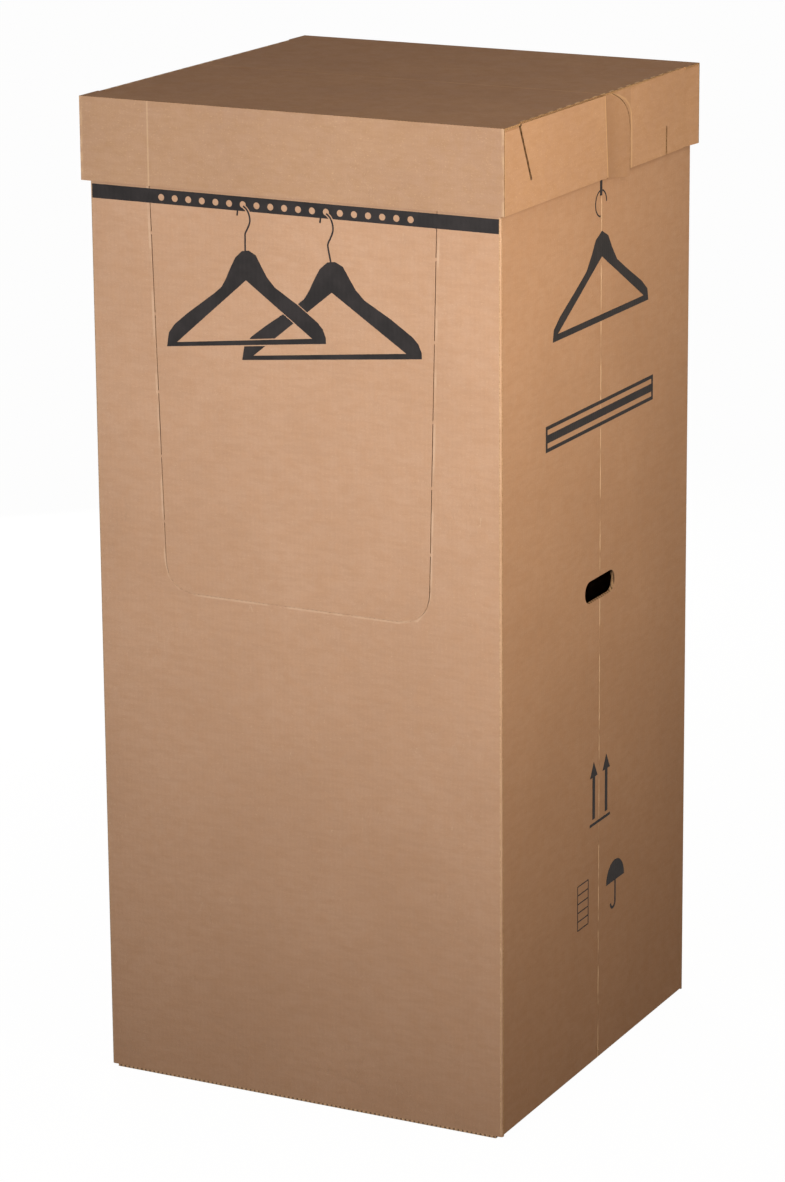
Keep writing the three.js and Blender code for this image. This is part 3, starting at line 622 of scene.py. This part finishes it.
def stageMaterial(name, seen, lit, keep):
    """Pale ground that the camera sees as white, with the object's shadow left in it."""
    material, tree = newMaterial(name)
    path = addNode(tree, "ShaderNodeLightPath").outputs
    direct = maths(tree, "MAXIMUM", path["Is Camera Ray"], path["Is Glossy Ray"])
    direct = maths(tree, "MAXIMUM", direct, path["Is Transmission Ray"])
    glow = addNode(tree, "ShaderNodeEmission", {"Color": linear(seen), "Strength": 1.0})
    matt = addNode(tree, "ShaderNodeBsdfDiffuse", {"Color": blendColour(tree, direct, linear(lit), linear(seen))})
    share = maths(tree, "MULTIPLY", direct, 1 - keep)
    mix = addNode(tree, "ShaderNodeMixShader", {"Fac": share})
    tree.links.new(matt.outputs[0], mix.inputs[1])
    tree.links.new(glow.outputs[0], mix.inputs[2])
    output = addNode(tree, "ShaderNodeOutputMaterial")
    tree.links.new(mix.outputs[0], output.inputs["Surface"])
    return material


stageLook = {"half": 14.0, "seen": "#FFFFFF", "lit": "#38332E", "keep": 0.02}


def makeFloor():
    half = stageLook["half"]
    mesh = bpy.data.meshes.new("floor")
    mesh.from_pydata([(-half, -half, 0), (half, -half, 0), (half, half, 0), (-half, half, 0)], [], [(0, 1, 2, 3)])
    mesh.materials.append(stageMaterial("paleGround", stageLook["seen"], stageLook["lit"], stageLook["keep"]))
    floor = bpy.data.objects.new("floor", mesh)
    bpy.context.scene.collection.objects.link(floor)
    floor.location.z = -0.2 * mm


# World: soft fill for the object, white for the camera and for reflections
fill = {"colour": "#FFC890", "strength": 0.13}


def makeWorld():
    world = bpy.data.worlds.new("studio")
    bpy.context.scene.world = world
    world.use_nodes = True
    tree = world.node_tree
    tree.nodes.clear()
    path = addNode(tree, "ShaderNodeLightPath").outputs
    direct = maths(tree, "MAXIMUM", path["Is Camera Ray"], path["Is Glossy Ray"])
    direct = maths(tree, "MAXIMUM", direct, path["Is Transmission Ray"])
    soft = addNode(tree, "ShaderNodeBackground", {"Color": linear(fill["colour"]), "Strength": fill["strength"]})
    white = addNode(tree, "ShaderNodeBackground", {"Color": (1, 1, 1, 1), "Strength": 1.0})
    mix = addNode(tree, "ShaderNodeMixShader", {"Fac": direct})
    tree.links.new(soft.outputs[0], mix.inputs[1])
    tree.links.new(white.outputs[0], mix.inputs[2])
    output = addNode(tree, "ShaderNodeOutputWorld")
    tree.links.new(mix.outputs[0], output.inputs["Surface"])


lamps = [
    {
        "name": "frontLamp",
        "at": (0.2, -2.0, 1.24),
        "to": (0.05, 0.0, 1.2),
        "size": 0.9,
        "power": 33.5,
        "colour": "#F8FAFF",
    },
    {
        "name": "sideLamp",
        "at": (1.6, -0.6, 1.46),
        "to": (0.0, -0.1, 1.46),
        "size": 0.8,
        "power": 21,
        "colour": "#FFF0DC",
    },
    {
        "name": "topLamp",
        "at": (1.1, 0.0, 3.3),
        "to": (0.1, 0.0, 1.35),
        "size": 1.4,
        "power": 6.5,
        "colour": "#FFF6EC",
    },
    {
        "name": "backLamp",
        "at": (-2.0, 2.2, 0.8),
        "to": (0.0, 0.0, 0.7),
        "size": 1.0,
        "power": 75,
        "colour": "#FFFFFF",
    },
]


def makeLamp(lamp):
    data = bpy.data.lights.new(lamp["name"], "AREA")
    data.size = lamp["size"]
    data.energy = lamp["power"]
    data.color = linear(lamp["colour"])[:3]
    item = bpy.data.objects.new(lamp["name"], data)
    bpy.context.scene.collection.objects.link(item)
    item.location = lamp["at"]
    item.visible_camera = False
    item.rotation_euler = (Vector(lamp["to"]) - Vector(lamp["at"])).to_track_quat("-Z", "Y").to_euler()


# The photograph's viewpoint, with the shift of its crop
view = {
    "at": (2.5126, -4.863, 2.1924),
    "azimuth": 25.546,
    "elevation": 13.974,
    "lens": 125.25,
    "shift": (-0.1112, -0.1122),
}


def makeCamera():
    data = bpy.data.cameras.new("camera")
    data.lens = view["lens"]
    data.shift_x, data.shift_y = view["shift"]
    camera = bpy.data.objects.new("camera", data)
    bpy.context.scene.collection.objects.link(camera)
    camera.location = view["at"]
    turn, rise = math.radians(view["azimuth"]), math.radians(view["elevation"])
    ahead = Vector((-math.sin(turn) * math.cos(rise), math.cos(turn) * math.cos(rise), -math.sin(rise)))
    camera.rotation_euler = ahead.to_track_quat("-Z", "Y").to_euler()
    bpy.context.scene.camera = camera


print("floor, light and camera")
makeFloor()
makeWorld()
for lamp in lamps:
    makeLamp(lamp)
makeCamera()
bpy.context.scene.view_settings.view_transform = "Standard"

print("finish")
